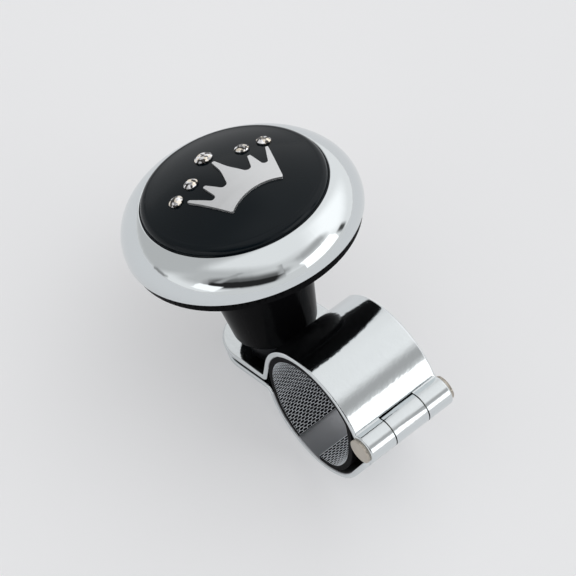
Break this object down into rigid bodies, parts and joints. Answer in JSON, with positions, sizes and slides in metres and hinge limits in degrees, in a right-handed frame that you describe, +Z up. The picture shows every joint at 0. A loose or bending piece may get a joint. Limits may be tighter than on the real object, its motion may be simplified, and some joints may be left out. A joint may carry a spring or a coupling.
{
  "type": "steering wheel spinner knob",
  "caption": "Steering wheel spinner knob: a black mushroom knob with a chrome ring turns on a ball bearing, carried by a hinged chrome rim clamp with a soft pad.",
  "frame": {"origin": "centre of the clamped rim, midway along the clamp's width", "axes": "+Z up along the knob's axis, +Y along the clamped rim, +X towards the clamp's hinge"},
  "size_m": [0.0788, 0.0578, 0.0715],
  "materials": {
    "chromed_steel": "bright chrome plate on formed steel",
    "pin_steel": "plain turned steel",
    "pad_rubber": "soft patterned strip",
    "zinc_steel": "zinc plated",
    "spindle_steel": "blackened steel",
    "bearing_steel": "ground steel",
    "cage_plastic": "natural nylon",
    "knob_plastic": "black moulded plastic",
    "ring_chrome": "bright chrome",
    "inlay_plastic": "black gloss dome",
    "crown_metal": "polished metal trim",
    "stone_glass": "cut glass with a mirrored back"
  },
  "bodies": {
    "clamp": {"upper_jaw": "chromed_steel", "hinge_pin": "pin_steel", "grip_pad": "pad_rubber", "spindle": "spindle_steel", "bearing_inner_race": "bearing_steel", "retaining_washer": "zinc_steel", "retaining_screw": "zinc_steel"},
    "swing_jaw": {"lower_jaw": "chromed_steel"},
    "screw": {"clamp_screw": "zinc_steel", "lock_washer": "zinc_steel"},
    "ball_set": {"bearing_ball_1": "bearing_steel", "bearing_ball_2": "bearing_steel", "bearing_ball_3": "bearing_steel", "bearing_ball_4": "bearing_steel", "bearing_ball_5": "bearing_steel", "bearing_ball_6": "bearing_steel", "bearing_ball_7": "bearing_steel", "bearing_cage": "cage_plastic"},
    "knob": {"knob_body": "knob_plastic", "chrome_ring": "ring_chrome", "dome_inlay": "inlay_plastic", "crown": "crown_metal", "bearing_outer_race": "bearing_steel", "bearing_shield_lower": "bearing_steel", "bearing_shield_upper": "bearing_steel", "centre_stone": "stone_glass", "near_stone_left": "stone_glass", "near_stone_right": "stone_glass", "far_stone_left": "stone_glass", "far_stone_right": "stone_glass"}
  },
  "joints": [
    {"name": "knob_spin", "type": "hinge", "parent": "clamp", "child": "knob", "pos_m": [-0.0278, 0, 0], "axis": [0, 0, 1], "continuous": true},
    {"name": "ball_set_spin", "type": "hinge", "parent": "clamp", "child": "ball_set", "pos_m": [-0.0278, 0, 0], "axis": [0, 0, 1], "continuous": true},
    {"name": "jaw_swing", "type": "hinge", "parent": "clamp", "child": "swing_jaw", "pos_m": [0.0183, 0, 0.0001], "axis": [0, -1, 0], "range_deg": [0, 95]},
    {"name": "screw_draw", "type": "slide", "parent": "swing_jaw", "child": "screw", "axis": [0, 0, -1], "range_m": [0, 0.008]}
  ],
  "couplings": [
    {"joint": "ball_set_spin", "follows": "knob_spin", "ratio": 0.6}
  ]
}
